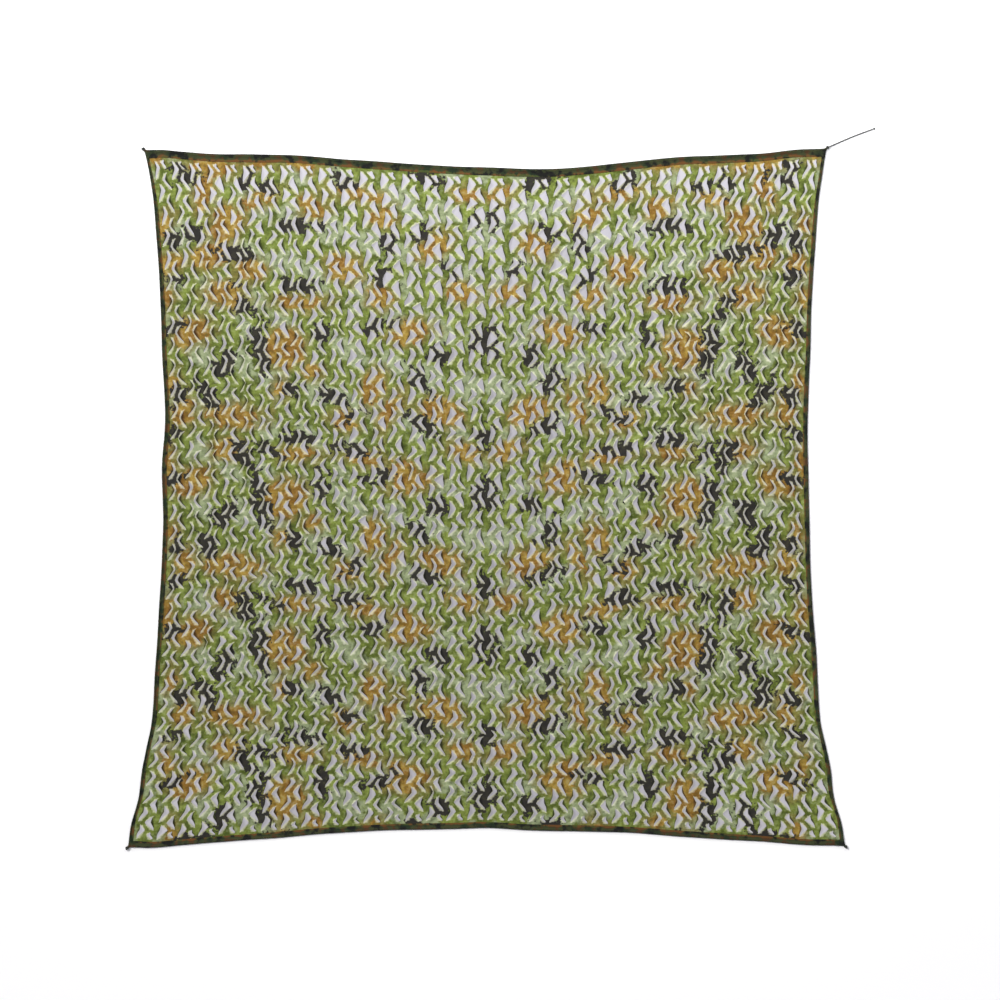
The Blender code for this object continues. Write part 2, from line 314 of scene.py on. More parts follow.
def twistTube(path, side, radius, lay, closed):
    # Three round strands laid up: a ring round each point of the path, whose radius dips
    # between strands and whose dips turn with the distance along it
    before = np.roll(path, 1, 0) if closed else np.vstack([path[:1], path[:-1]])
    after = np.roll(path, -1, 0) if closed else np.vstack([path[1:], path[-1:]])
    ahead = after - before
    ahead /= np.linalg.norm(ahead, axis=1)[:, None]
    side = side - ahead * np.sum(side * ahead, 1)[:, None]
    side /= np.linalg.norm(side, axis=1)[:, None]
    up = np.cross(ahead, side)
    gone = np.concatenate([[0.0], np.cumsum(np.linalg.norm(np.diff(path, axis=0), axis=1))])
    bearing = np.arange(cord["around"]) * 2 * np.pi / cord["around"]
    turn = bearing[None, :] - 2 * np.pi * gone[:, None] / lay
    crown = np.abs(np.cos(turn * cord["strands"] / 2))
    reach = radius * (1 - cord["groove"] * (1 - crown) ** 1.5)
    points = (
        path[:, None] + side[:, None] * (np.cos(bearing)[None, :, None] * reach[..., None])
        + up[:, None] * (np.sin(bearing)[None, :, None] * reach[..., None])
    )
    spots = np.stack(np.broadcast_arrays(gone[:, None], bearing[None, :] / (2 * np.pi)), -1)
    return points, spots, crown


def addTube(name, path, side, radius, lay, closed, finish):
    # The rings of a twisted tube joined up: into a loop, or with a fan of faces at each end
    points, spots, crown = twistTube(path, side, radius, lay, closed)
    rings, around = crown.shape
    faces = gridFaces(rings, around, True, closed)[:, ::-1].tolist()
    points, spots, crown = points.reshape(-1, 3), spots.reshape(-1, 2), crown.ravel()
    if not closed:
        ring = np.arange(around)
        last, foot = (rings - 1) * around, rings * around
        points = np.vstack([points, path[[0, -1]]])
        spots = np.vstack([spots, spots[[0, last]]])
        crown = np.append(crown, [0.5, 0.5])
        start = np.stack([np.full(around, foot), ring, (ring + 1) % around], -1)
        stop = np.stack([np.full(around, foot + 1), last + (ring + 1) % around, last + ring], -1)
        faces += start[:, ::-1].tolist() + stop[:, ::-1].tolist()
    return makePiece(name, points, faces, finish, {"cordMap": spots}, {"crown": crown})


def addTie(finish):
    path = throughPoints(tie["route"], tie["stations"])
    side = np.tile(tie["flatSide"], (len(path), 1))
    piece = addTube("corner_tie", path, side, cord["thickness"] / 2, cord["lay"], False, finish)
    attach(piece, body)
    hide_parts("tie_cord")
    return piece, path


def addKnot(name, node, finish, cordRadius, turn):
    # An overhand knot pulled tight: a trefoil, (sin t + 2 sin 2t, cos t - 2 cos 2t, -sin 3t),
    # scaled to the CAD knot's own box
    low, high = (np.array(corner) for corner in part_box(node))
    middle = (low + high) / 2
    half = (high - low) / 2 - cordRadius
    t = np.linspace(0, 2 * np.pi, knots["stations"], endpoint=False)
    x = np.sin(t) + 2 * np.sin(2 * t)
    y = np.cos(t) - 2 * np.cos(2 * t)
    z = -np.sin(3 * t)
    c, s = np.cos(turn), np.sin(turn)
    across = np.stack([x * c - y * s, x * s + y * c], -1)
    across *= min(half[0], half[1]) / np.abs(across).max()
    path = np.column_stack([across, z * half[2]]) + middle
    outward = np.column_stack([across, z * 0.0])
    piece = addTube(name, path, outward, cordRadius, cord["lay"] * knots["tighter"], True, finish)
    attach(piece, body)
    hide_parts(node)
    return piece


twisted = cordFinish()
tieCord, tiePath = addTie(twisted)
endKnot = addKnot("tie_knot", "tie_end_knot", twisted, *knots["end"])
cornerRadius, firstTurn, nextTurn = knots["corner"]
for order, name in enumerate(("top_left", "top_right", "bottom_right", "bottom_left")):
    turn = firstTurn + nextTurn * order
    addKnot("corner_knot_" + name, "knot_" + name, twisted, cornerRadius, turn)
print("cord made: tie and knots")


# Outline of the net: the same corners and bowed sides as the CAD's

corners = {
    "topLeft": (-1.470, 1.494), "topRight": (1.461, 1.501),
    "bottomRight": (1.540, -1.495), "bottomLeft": (-1.540, -1.501),
}
outline = {
    "knotRadius": 0.008,
    "gap": 0.0003,         # from a tape's end to the next tape
    "tuck": 0.58,          # of the binding's width, where the cloth's edge lies
    "edgeHeight": 0.0022,  # of the cloth in the binding's slot
    "slotRise": 0.0004,    # of the cut field's border above that
    "margin": 0.004,       # uncut cloth along the binding
}
# bow: share of the way, distance drawn in; inward: +1 if the net lies left of the way
sides = {
    "top": {
        "ends": ("topLeft", "topRight"), "inward": -1, "width": 0.034,
        "bow": ((0, 0), (0.025, -0.003), (0.055, 0.005), (0.10, 0.015), (0.16, 0.018),
                (0.22, 0.021), (0.30, 0.041), (0.36, 0.053), (0.42, 0.065), (0.51, 0.077),
                (0.59, 0.083), (0.65, 0.072), (0.70, 0.058), (0.75, 0.042), (0.80, 0.030),
                (0.86, 0.025), (0.91, 0.018), (0.96, 0.002), (1, 0)),
    },
    "right": {
        "ends": ("bottomRight", "topRight"), "inward": 1, "width": 0.020,
        "bow": ((0, 0), (0.03, 0.010), (0.07, 0.041), (0.11, 0.052), (0.14, 0.067),
                (0.18, 0.090), (0.23, 0.096), (0.28, 0.101), (0.36, 0.112), (0.43, 0.115),
                (0.50, 0.114), (0.60, 0.111), (0.66, 0.102), (0.71, 0.091), (0.77, 0.081),
                (0.82, 0.070), (0.86, 0.058), (0.89, 0.050), (0.93, 0.036), (0.965, 0.018),
                (1, 0)),
    },
    "bottom": {
        "ends": ("bottomLeft", "bottomRight"), "inward": 1, "width": 0.026,
        "bow": ((0, 0), (0.03, -0.004), (0.07, 0.006), (0.14, 0.023), (0.20, 0.036),
                (0.26, 0.052), (0.37, 0.070), (0.45, 0.074), (0.50, 0.078), (0.55, 0.069),
                (0.60, 0.065), (0.66, 0.061), (0.70, 0.056), (0.78, 0.038), (0.84, 0.026),
                (0.89, 0.016), (0.95, 0.002), (1, 0)),
    },
    "left": {
        "ends": ("bottomLeft", "topLeft"), "inward": -1, "width": 0.020,
        "bow": ((0, 0), (0.03, 0.008), (0.07, 0.038), (0.11, 0.050), (0.14, 0.066),
                (0.18, 0.088), (0.25, 0.096), (0.32, 0.105), (0.40, 0.114), (0.46, 0.116),
                (0.50, 0.112), (0.55, 0.106), (0.61, 0.115), (0.66, 0.106), (0.71, 0.095),
                (0.78, 0.084), (0.84, 0.069), (0.89, 0.055), (0.93, 0.042), (0.965, 0.024),
                (1, 0)),
    },
}


def tapeCorner(name):
    middle = np.array(corners[name])
    return middle - middle / np.linalg.norm(middle) * outline["knotRadius"]


def chordOf(side):
    start, end = (tapeCorner(name) for name in side["ends"])
    along = (end - start) / np.linalg.norm(end - start)
    return start, along, np.array([-along[1], along[0]]) * side["inward"]


def meetAt(name, share, extra):
    # Where a corner's two sides meet, each moved in by a share of its tape and extra
    lines = []
    for side in sides.values():
        if name in side["ends"]:
            start, along, inward = chordOf(side)
            moved = np.asarray(share * side["width"] + extra)[..., None]
            lines.append((start + inward * moved, along))
    (p, d), (q, e) = lines
    between = q - p
    reach = (between[..., 0] * e[1] - between[..., 1] * e[0]) / (d[0] * e[1] - d[1] * e[0])
    return p + d * reach[..., None]


def sidePoint(side, way, share, extra=0.0):
    # A point of a bowed side, moved into the net by a share of its tape and extra
    way = np.asarray(way, float)
    start, end = (meetAt(name, share, extra) for name in side["ends"])
    bow = chordOf(side)[2] * smoothAlong(side["bow"], way)[..., None]
    return start + (end - start) * way[..., None] + bow


def clothPoint(u, v):
    # The cut field filled in between its four curved borders, as a Coons patch
    margin = outline["margin"]
    low, high = (sidePoint(sides[name], u, 1, margin) for name in ("bottom", "top"))
    left, right = (sidePoint(sides[name], v, 1, margin) for name in ("left", "right"))
    footLeft, footRight, headLeft, headRight = (
        meetAt(name, 1, margin) for name in ("bottomLeft", "bottomRight", "topLeft", "topRight")
    )
    across, up = u[..., None], v[..., None]
    foot = footLeft + (footRight - footLeft) * across
    head = headLeft + (headRight - headLeft) * across
    return (
        low + (high - low) * up + left + (right - left) * across - foot - (head - foot) * up
    )


# The print: four colours, mirrored about a line up the middle, and repeated down the net.
# Every blotch is (distance from that line, height up the net, half width, half height, turn)

printed = {
    "mirror": -0.007,
    "repeat": 0.643,
    "repeatsBelow": 0.72,
    "repeats": 4,
    "black": {
        "once": (
            (1.32, 1.42, 0.036, 0.028, 0.0), (1.27, 1.37, 0.070, 0.026, -0.2),
            (1.03, 1.36, 0.028, 0.048, 0.2), (0.93, 1.33, 0.058, 0.026, 0.1),
            (0.61, 1.36, 0.056, 0.034, 0.6), (0.24, 1.36, 0.082, 0.034, 0.4),
            (0.79, 1.16, 0.088, 0.032, 0.1), (1.33, 1.10, 0.036, 0.042, 0.2),
            (1.24, 1.13, 0.036, 0.050, -0.5), (1.08, 1.05, 0.090, 0.030, 0.1),
            (0.41, 1.09, 0.032, 0.064, 0.2), (0.27, 1.13, 0.048, 0.034, -0.3),
            (0.44, 0.95, 0.052, 0.030, 0.5), (1.32, 0.94, 0.038, 0.028, 0.3),
            (0.79, 0.91, 0.088, 0.034, 0.0), (1.03, 0.82, 0.030, 0.078, -0.5),
            (0.04, 1.20, 0.032, 0.046, 0.2), (0.13, 0.97, 0.044, 0.026, 0.5),
        ),
        "each": (
            (0.70, 0.70, 0.034, 0.058, 0.0), (0.46, 0.73, 0.064, 0.028, -0.3),
            (0.97, 0.68, 0.036, 0.062, 0.2), (0.95, 0.58, 0.034, 0.060, -0.2),
            (1.12, 0.57, 0.040, 0.072, 0.4), (1.19, 0.45, 0.036, 0.070, -0.5),
            (1.33, 0.72, 0.058, 0.022, -0.4), (0.82, 0.47, 0.040, 0.036, 0.3),
            (0.66, 0.43, 0.062, 0.034, 0.4), (0.28, 0.50, 0.034, 0.066, -0.6),
            (0.20, 0.61, 0.046, 0.042, 0.3), (0.02, 0.66, 0.038, 0.072, 0.1),
            (0.79, 0.26, 0.084, 0.032, 0.1), (1.03, 0.17, 0.032, 0.080, -0.5),
            (0.56, 0.35, 0.056, 0.022, -0.5), (0.26, 0.31, 0.072, 0.034, 0.5),
            (0.57, 0.21, 0.070, 0.028, 0.1), (0.94, 0.20, 0.060, 0.026, 0.5),
            (0.00, 0.26, 0.042, 0.050, 0.0), (1.31, 0.44, 0.034, 0.044, 0.3),
            (1.32, 0.28, 0.044, 0.022, -0.4),
        ),
    },
    "ochre": {
        "once": (
            (1.41, 1.46, 0.030, 0.030, 0.0), (1.17, 1.42, 0.120, 0.036, 0.1),
            (1.20, 1.33, 0.044, 0.090, 0.2), (0.97, 1.44, 0.056, 0.028, 0.0),
            (0.78, 1.43, 0.070, 0.030, 0.2), (0.97, 1.28, 0.080, 0.034, -0.4),
            (0.74, 1.24, 0.066, 0.048, 0.4), (0.55, 1.30, 0.110, 0.032, 0.2),
            (1.37, 1.17, 0.030, 0.056, 0.5), (1.11, 1.17, 0.070, 0.090, 0.6),
            (1.17, 1.04, 0.090, 0.060, -0.3), (1.01, 0.98, 0.072, 0.050, 0.2),
            (1.34, 1.00, 0.044, 0.056, 0.5), (0.44, 1.20, 0.062, 0.044, 0.4),
            (0.60, 0.98, 0.080, 0.062, 0.3), (0.22, 1.08, 0.080, 0.050, -0.6),
            (1.36, 0.86, 0.030, 0.044, 0.0), (1.11, 0.87, 0.090, 0.054, 0.2),
            (0.79, 0.84, 0.094, 0.036, 0.0), (0.45, 0.86, 0.060, 0.050, 0.4),
            (0.08, 1.30, 0.060, 0.034, 0.3), (0.10, 0.88, 0.066, 0.044, 0.2),
        ),
        "each": (
            (1.26, 0.71, 0.088, 0.062, -0.4), (0.86, 0.64, 0.096, 0.088, -0.2),
            (0.32, 0.71, 0.094, 0.048, -0.2), (1.34, 0.49, 0.028, 0.052, 0.1),
            (1.29, 0.37, 0.044, 0.072, 0.2), (0.48, 0.47, 0.050, 0.078, 0.3),
            (0.87, 0.47, 0.036, 0.040, 0.0), (1.08, 0.35, 0.130, 0.050, 0.1),
            (0.60, 0.33, 0.060, 0.044, 0.5), (0.40, 0.38, 0.034, 0.084, 0.5),
            (0.19, 0.37, 0.100, 0.060, 0.3), (1.10, 0.21, 0.066, 0.050, 0.0),
            (0.80, 0.19, 0.082, 0.034, 0.0), (0.52, 0.17, 0.086, 0.036, 0.2),
            (0.34, 0.11, 0.082, 0.050, 0.4), (1.36, 0.14, 0.030, 0.074, 0.0),
            (0.09, 0.20, 0.070, 0.040, 0.3), (0.74, 0.54, 0.040, 0.034, 0.2),
        ),
    },
    "mintSize": 0.16,      # wavelength of the paler green's patches
    "mintLess": 0.45, "mintReach": 0.03,
    "noises": {            # scale, detail, roughness
        "ragged": (19.0, 3.0, 0.62), "fine": (75.0, 2.0, 0.5),
        "tone": (15.0, 3.0, 0.6), "mottle": (44.0, 3.0, 0.6),
    },
    # How far the ragged and the fine noise move each field's borders
    "moved": {"mint": (0.10, 0.022), "ochre": (0.10, 0.022), "black": (0.135, 0.0484)},
    # The first colour, and each one over it: field, start, gain and share of its soft step
    "shades": (
        colour(81, 95, 28),
        (colour(119, 133, 56), "tone", 0.40, 5.0, 1.0),
        (colour(138, 149, 111), "mint", -0.00833, 60.0, 1.0),
        (colour(120, 109, 52), "ochre", -0.034, 34.0, 0.80),
        ((colour(128, 92, 27), (colour(152, 125, 49), "tone", 0.42, 5.0, 1.0)),
         "ochre", 0.00145, 110.0, 1.0),
        (colour(184, 186, 152), "mottle", 0.52, 2.6, 0.50),     # paler at random: painted light on the crumpled cloth
        (colour(42, 44, 18), "mottle", 0.53, -4.0, 0.66),       # darker at random: painted shade of the crumpled cloth
        ((colour(34, 32, 29), (colour(54, 52, 36), "mottle", 0.45, 3.0, 1.0)),
         "black", -0.00333, 150.0, 1.0),
    ),
}


def blotchField(spots, chart):
    # About the distance into the nearest blotch of a colour, in metres, below 0 outside
    aside = np.abs(spots[:, 0] - printed["mirror"])
    height = spots[:, 1]
    field = np.full(len(spots), -1.0)
    repeats = [
        (x, y - printed["repeat"] * n, *size)
        for n in range(printed["repeats"]) for x, y, *size in chart["each"]
    ]
    for x, y, wide, tall, turn in (*chart["once"], *repeats):
        dx, dy = aside - x, height - y
        a = (dx * np.cos(turn) + dy * np.sin(turn)) / wide
        b = (dy * np.cos(turn) - dx * np.sin(turn)) / tall
        inside = (1 - np.sqrt(a * a + b * b)) * min(wide, tall)
        field = np.maximum(field, inside)
    return field


def mintField(spots):
    # The paler green: waves in the mirrored and repeated print, in metres about 0
    aside = np.abs(spots[:, 0] - printed["mirror"])
    below = printed["repeatsBelow"]
    down = (below - spots[:, 1]) % printed["repeat"]
    height = np.where(spots[:, 1] < below, below - down, spots[:, 1])
    field = waves(aside, height, printed["mintSize"], 5) - printed["mintLess"]
    return field * printed["mintReach"]


def camouflage(finish, spots):
    # The print's colours, with ragged borders, from the fields that the mesh carries, and painted
    # light and shade laid over them at random
    fields = finish.noises(spots, printed["noises"])
    for name, (ragged, fine) in printed["moved"].items():
        moved = (fields["ragged"] - 0.5) * ragged + (fields["fine"] - 0.5) * fine
        fields[name] = finish.read(name) + moved
    return laid(finish, fields, *printed["shades"])


# The cloth. Its cells stand in columns, every second one moved up by half a cell. Each cell
# has one cut, ">" in even columns and "<" in odd ones, and the leaf inside the cut curls up.

net = {
    "columns": 68, "rows": 34,
    "sideSteps": 6,        # points along a cell's side, an even number
    "rootSteps": 8, "lipSteps": 12,
    # Places in a cell, from its middle: first of a tight slit, then of a wide hole
    "upperEnd": ((-0.05, 0.385), (0.01, 0.370)),
    "lowerEnd": ((-0.43, -0.385), (-0.27, -0.400)),
    "endSpread": (0.055, 0.032),
    "apex": (0.44, 0.47),
    "apexHeight": 0.40,    # share of the way down the cut
    "apexSpread": 0.06,
    "rounded": 0.35,       # of the way from a triangular cut to a sine
    "shortCut": 0.72,      # size of the short cuts along the head and foot
    "rootBow": 0.19,       # of an open hole's straight side, away from the apex
    "rootBulge": (-0.07, 0.13), "lipBulge": (0.04, 0.20),
    "leaf": 0.0275,        # from its root to the tip before the cloth was drawn open
    "leafSpread": 0.06, "leafLeast": 0.12,
    "leafShadeGrows": 1.7,    # its painted shade, a deeper and darker colour, to a share of its length
    "parted": (0.0042, 0.0085),    # between leaf and lip, as the cloth is drawn open
    "bend": (0.42, 1.42),  # radians, on the leaf's way up
    "bendSpread": 0.26, "bendSkew": 0.3, "bendLimits": (0.15, 1.9),
    # share of the leaf's length, and of its bend reached there
    "leafSpans": ((0.25, 0.45), (0.35, 0.90), (0.40, 1.15)),
    "lipLift": (0.0010, 0.0085),
    "rootSag": 0.6,        # share of a strand's height lost in the middle of a root
    "lowest": 0.0010,      # of the strands between the cuts, off the floor
    "relief": 0.0095,      # from their lowest to their highest
    "reliefLengths": (0.12, 0.048),
    "edgeFade": 1.2,       # cells from the border, where the relief has set in
    # Creases that the drawn sides pull into the cloth: from, to, half width, height
    "creases": (
        ((-1.377, 0.741), (-1.245, 0.668), 0.012, 0.0075),
        ((-1.399, -0.574), (-1.292, -0.609), 0.012, 0.0070),
        ((1.386, 0.750), (1.262, 0.690), 0.012, 0.0065),
        ((1.399, -0.560), (1.300, -0.600), 0.012, 0.0070),
    ),
    "creaseFade": 0.6,     # share of its height lost from end to end
    # The columns are wider up the middle, and the rows taller at the upper corners
    "middleWider": 0.12, "headTaller": 0.13, "headBend": 1.5,
    "span": 3.0,           # of the net, flat
    "stray": 0.0055,       # of the lattice from its even rows and columns
    "strayLength": 0.16,
    "strayFade": 0.05,     # share of the net along the border, where it sets in
    "seed": 23,
}
openness = {
    # height up the net, how far the cuts gape there: up the middle, and along the two sides
    "middle": ((0, 0.38), (0.12, 0.34), (0.30, 0.36), (0.44, 0.44), (0.56, 0.62), (0.68, 0.52),
               (0.80, 0.72), (1, 0.72)),
    "aside": ((0, 0.70), (0.06, 0.52), (0.15, 0.20), (0.30, 0.14), (0.44, 0.16), (0.56, 0.00),
              (0.80, 0.00), (0.90, 0.22), (1, 0.60)),
    "middleEnds": 0.53, "middleSoft": 0.15,
    "spread": 0.30, "spreadBend": 0.3,    # from cell to cell
    "drift": 0.12, "driftLength": 9.0,    # in waves, as long as so many columns
    "limits": (0.02, 1.05),
}


def shareOf(column, step):
    # The shares of the net's width and height where a place among its cells lies
    return column / net["columns"], step / (net["rows"] * net["sideSteps"])


def howOpen(u, v):
    # The net gapes up its middle, most near the top, and along its head and foot
    off = np.abs(u - 0.5) * 2
    share = 1 - stepAt(openness["middleEnds"], off, openness["middleSoft"])
    middle, aside = (smoothAlong(openness[name], v) for name in ("middle", "aside"))
    return aside + (middle - aside) * share


def reliefAt(spots, column, step):
    # Height of the strands: soft waves above the floor and a ridge along each crease, which
    # all settle towards the binding
    rise = sum(
        waves(spots[..., 0], spots[..., 1], length, seed)
        for seed, length in enumerate(net["reliefLengths"], 3)
    )
    rows = step / net["sideSteps"]
    inside = np.minimum(
        np.minimum(column, net["columns"] - column), np.minimum(rows, net["rows"] - rows)
    )
    fade = np.clip(inside / net["edgeFade"], 0, 1)
    height = net["lowest"] + net["relief"] * (0.5 + 0.5 * np.tanh(rise))
    for start, end, wide, tall in net["creases"]:
        way = np.subtract(end, start)
        gone = np.clip((spots - start) @ way / (way @ way), 0, 1)
        off = np.linalg.norm(spots - start - gone[..., None] * way, axis=-1)
        height = height + tall * (1 - net["creaseFade"] * gone) * np.exp(-(off / wide) ** 2)
    settled = outline["edgeHeight"] + outline["slotRise"]
    return settled + fade * (height - settled)


def drawnTo(u, v):
    # Where even columns and rows lie in the field: wider up the middle, taller at the corners
    wider = net["middleWider"] * v
    taller = net["headTaller"] * np.abs(2 * u - 1) ** net["headBend"]
    return u + wider * np.sin(2 * np.pi * (u - 0.5)) / (2 * np.pi), v - taller * v * (1 - v)


def latticeSpot(column, step):
    # A point by its place among the columns and its steps up the side, a little astray
    u, v = shareOf(column, step)
    u = np.clip(u, 0, 1)
    border = np.minimum(np.minimum(u, 1 - u), np.minimum(v, 1 - v))
    stray = net["stray"] * np.clip(border / net["strayFade"], 0, 1)
    across, up = net["span"] * u, net["span"] * v
    strayed = [waves(across, up, net["strayLength"], seed) for seed in (11, 12)]
    return stray[..., None] * np.stack(strayed, -1) + clothPoint(*drawnTo(u, v))


def raised(column, step):
    # A point of the lattice at its height
    spots = latticeSpot(column, step)
    return np.dstack([spots, reliefAt(spots, column, step)])


def bulgeAt(name, column, step):
    # How far a line between two columns strays, as a share of a column
    tight, wide = net[name]
    return tight + (wide - tight) * np.clip(howOpen(*shareOf(column, step)), 0, 1)


def lineColumns(steps):
    # Lines between the columns, drawn aside in turn where the cells on either side are widest.
    # Lips face each other across the odd lines, and roots across the even ones
    line = np.arange(net["columns"] + 1)[:, None]
    step = np.asarray(steps)[None, :]
    inside = (line > 0) & (line < net["columns"])
    lip, root = (bulgeAt(name, line + 0.0, step) for name in ("lipBulge", "rootBulge"))
    stray = np.where(line % 2 == 1, lip, root)
    return line + stray * (-1.0) ** line * np.cos(2 * np.pi * step / net["sideSteps"]) * inside


def chevron(share, peak):
    # Distance of the cut from its chord, 0 to 1: between a sine and a triangle
    curved = np.sin(np.pi * share ** (np.log(0.5) / np.log(peak)))
    straight = np.where(share < peak, share / peak, (1 - share) / (1 - peak))
    return net["rounded"] * curved + (1 - net["rounded"]) * straight


def laceRows(outer, inner):
    # Triangles between two rows of points of unlike number, from one end to the other
    faces = []
    i = k = 0
    while i < len(outer) - 1 or k < len(inner) - 1:
        nextOuter = (i + 1) / (len(outer) - 1)
        nextInner = (k + 1) / (len(inner) - 1)
        if k == len(inner) - 1 or (i < len(outer) - 1 and nextOuter <= nextInner):
            faces.append((inner[k], outer[i + 1], outer[i]))
            i += 1
        else:
            faces.append((inner[k], inner[k + 1], outer[i]))
            k += 1
    return faces


def cellPattern(steps):
    # Corner numbers of one cell's faces. Its points: the root side's border from the top
    # middle down to the bottom middle, the lip side's, then root, lip and leaf
    border = steps + 3
    root, lip = net["rootSteps"], net["lipSteps"]
    rootBorder = list(range(border))
    lipBorder = [0, *range(border, 2 * border - 2), border - 1]
    start = 2 * border - 2
    rootRow = list(range(start, start + root + 1))
    start += root + 1
    lipRow = [rootRow[0], *range(start, start + lip - 1), rootRow[-1]]
    start += lip - 1

    def strip(upper, lower, first, last):
        return [(upper[i], upper[i + 1], lower[i + 1], lower[i]) for i in range(first, last)]

    quads = []
    triangles = laceRows(lipBorder, lipRow)
    if border == root + 1:
        quads += strip(rootBorder, rootRow, 0, root)
    else:
        triangles += [face[::-1] for face in laceRows(rootBorder, rootRow)]
    before = rootRow
    for _ in net["leafSpans"]:
        row = [rootRow[0], *range(start, start + root - 1), rootRow[-1]]
        start += root - 1
        triangles.append((row[0], before[1], row[1]))
        triangles.append((before[-2], row[-1], row[-2]))
        quads += strip(before, row, 1, root - 1)
        before = row
    return quads, triangles


def cellPoints(column, step, facing, tall):
    # Root, lip and leaf of every cell: points, their places on the flat cloth, and their
    # shares of a cut edge and of a leaf's painted shade. A cell is so many steps tall, and half a
    # cell has a smaller cut. The lip and root are bowed chords of the cut, and the leaf rises from
    # the root in spans that bend more and more
    chance = np.random.default_rng(net["seed"])
    draw = chance.uniform(-1, 1, (11, len(column), 1))
    column, step, facing = column[:, None], step[:, None], facing[:, None]
    opened = howOpen(*shareOf(column, step))
    opened = opened + openness["spread"] * draw[0] * np.abs(draw[1]) ** openness["spreadBend"]
    drift = openness["drift"] * waves(column, step, openness["driftLength"], 8)
    opened = np.clip(opened + drift, *openness["limits"])
    rootBulge, lipBulge = (bulgeAt(name, column, step) for name in ("rootBulge", "lipBulge"))
    size = 1.0 if tall == net["sideSteps"] else net["shortCut"]

    def between(pair):
        return pair[0] + (pair[1] - pair[0]) * opened

    def gridSpot(across, up):
        # From a cell's own measures to the columns and steps, wider at its middle height
        place = step + up * tall
        swell = -facing * np.cos(2 * np.pi * place / net["sideSteps"])
        wide = 1 + 2 * np.where(across > 0, lipBulge, rootBulge) * swell
        return column + facing * across * wide * size, place

    ends = []
    for k, name in enumerate(("upperEnd", "lowerEnd")):
        tight, wide = net[name]
        stray, rise = net["endSpread"]
        ends.append((
            between((tight[0], wide[0])) + stray * draw[2 + 2 * k],
            between((tight[1], wide[1])) + rise * draw[3 + 2 * k],
        ))

    def chord(share):
        (topAcross, topUp), (lowAcross, lowUp) = ends
        return topAcross + (lowAcross - topAcross) * share, topUp + (lowUp - topUp) * share

    shareRoot = np.linspace(0, 1, net["rootSteps"] + 1)[None]
    shareLip = np.linspace(0, 1, net["lipSteps"] + 1)[None]
    peak = net["apexHeight"] + net["apexSpread"] * draw[6]
    across, up = chord(shareRoot)
    rootGrid = gridSpot(across - net["rootBow"] * opened * np.sin(np.pi * shareRoot), up)
    across, up = chord(shareLip)
    depth = between(net["apex"]) + net["apexSpread"] * draw[7] - chord(peak)[0]
    lipGrid = gridSpot(across + depth * chevron(shareLip, peak), up)
    root, lip = raised(*rootGrid), raised(*lipGrid)

    ahead = latticeSpot(column + facing, step) - latticeSpot(column, step)
    ahead /= np.linalg.norm(ahead, axis=-1)[..., None]
    closed = size * net["leaf"] * (1 + net["leafSpread"] * draw[8]) * chevron(shareRoot, peak)
    length = np.maximum(closed - between(net["parted"]), net["leafLeast"] * closed)
    bend = between(net["bend"]) * (1 + net["bendSpread"] * draw[9])
    skew = 1 + net["bendSkew"] * draw[10] * (1 - 2 * shareRoot)
    bend = np.clip(bend * skew, *net["bendLimits"])
    root[..., 2] *= 1 - net["rootSag"] * np.sin(np.pi * shareRoot)
    low, high = net["lipLift"]
    lift = low + (high - low) * (0.5 + 0.5 * draw[1])
    lip[..., 2] += lift * np.sin(np.pi * shareLip)
    inner = slice(1, -1)
    rows = [root, lip[:, inner]]
    flats = [root[..., :2], lip[:, inner, :2]]
    leafShades = [np.zeros(root.shape[:2]), np.zeros((len(column), net["lipSteps"] - 1))]
    edges = [
        np.broadcast_to((shareRoot == 0) | (shareRoot == 1), root.shape[:2]) * 1.0,
        np.ones((len(column), net["lipSteps"] - 1)),
    ]
    root, bend, length = (values[:, inner] for values in (root, bend, length))
    foot, height = root[..., :2], root[..., 2]
    reach, gone = np.zeros(bend.shape), 0.0
    for share, bent in net["leafSpans"]:
        gone += share
        reach = reach + length * share * np.cos(bend * bent)
        height = height + length * share * np.sin(bend * bent)
        rows.append(np.dstack([foot + ahead * reach[..., None], height]))
        flats.append(foot + ahead * (length * gone)[..., None])
        edges.append(np.full(bend.shape, 1.0 if gone > 0.999 else 0.0))
        # painted shade: the leaf darker towards its tip, where it curls up steeply
        leafShades.append(np.full(bend.shape, min(1.0, net["leafShadeGrows"] * gone)))
    return [np.concatenate(parts, 1) for parts in (rows, flats, edges, leafShades)]


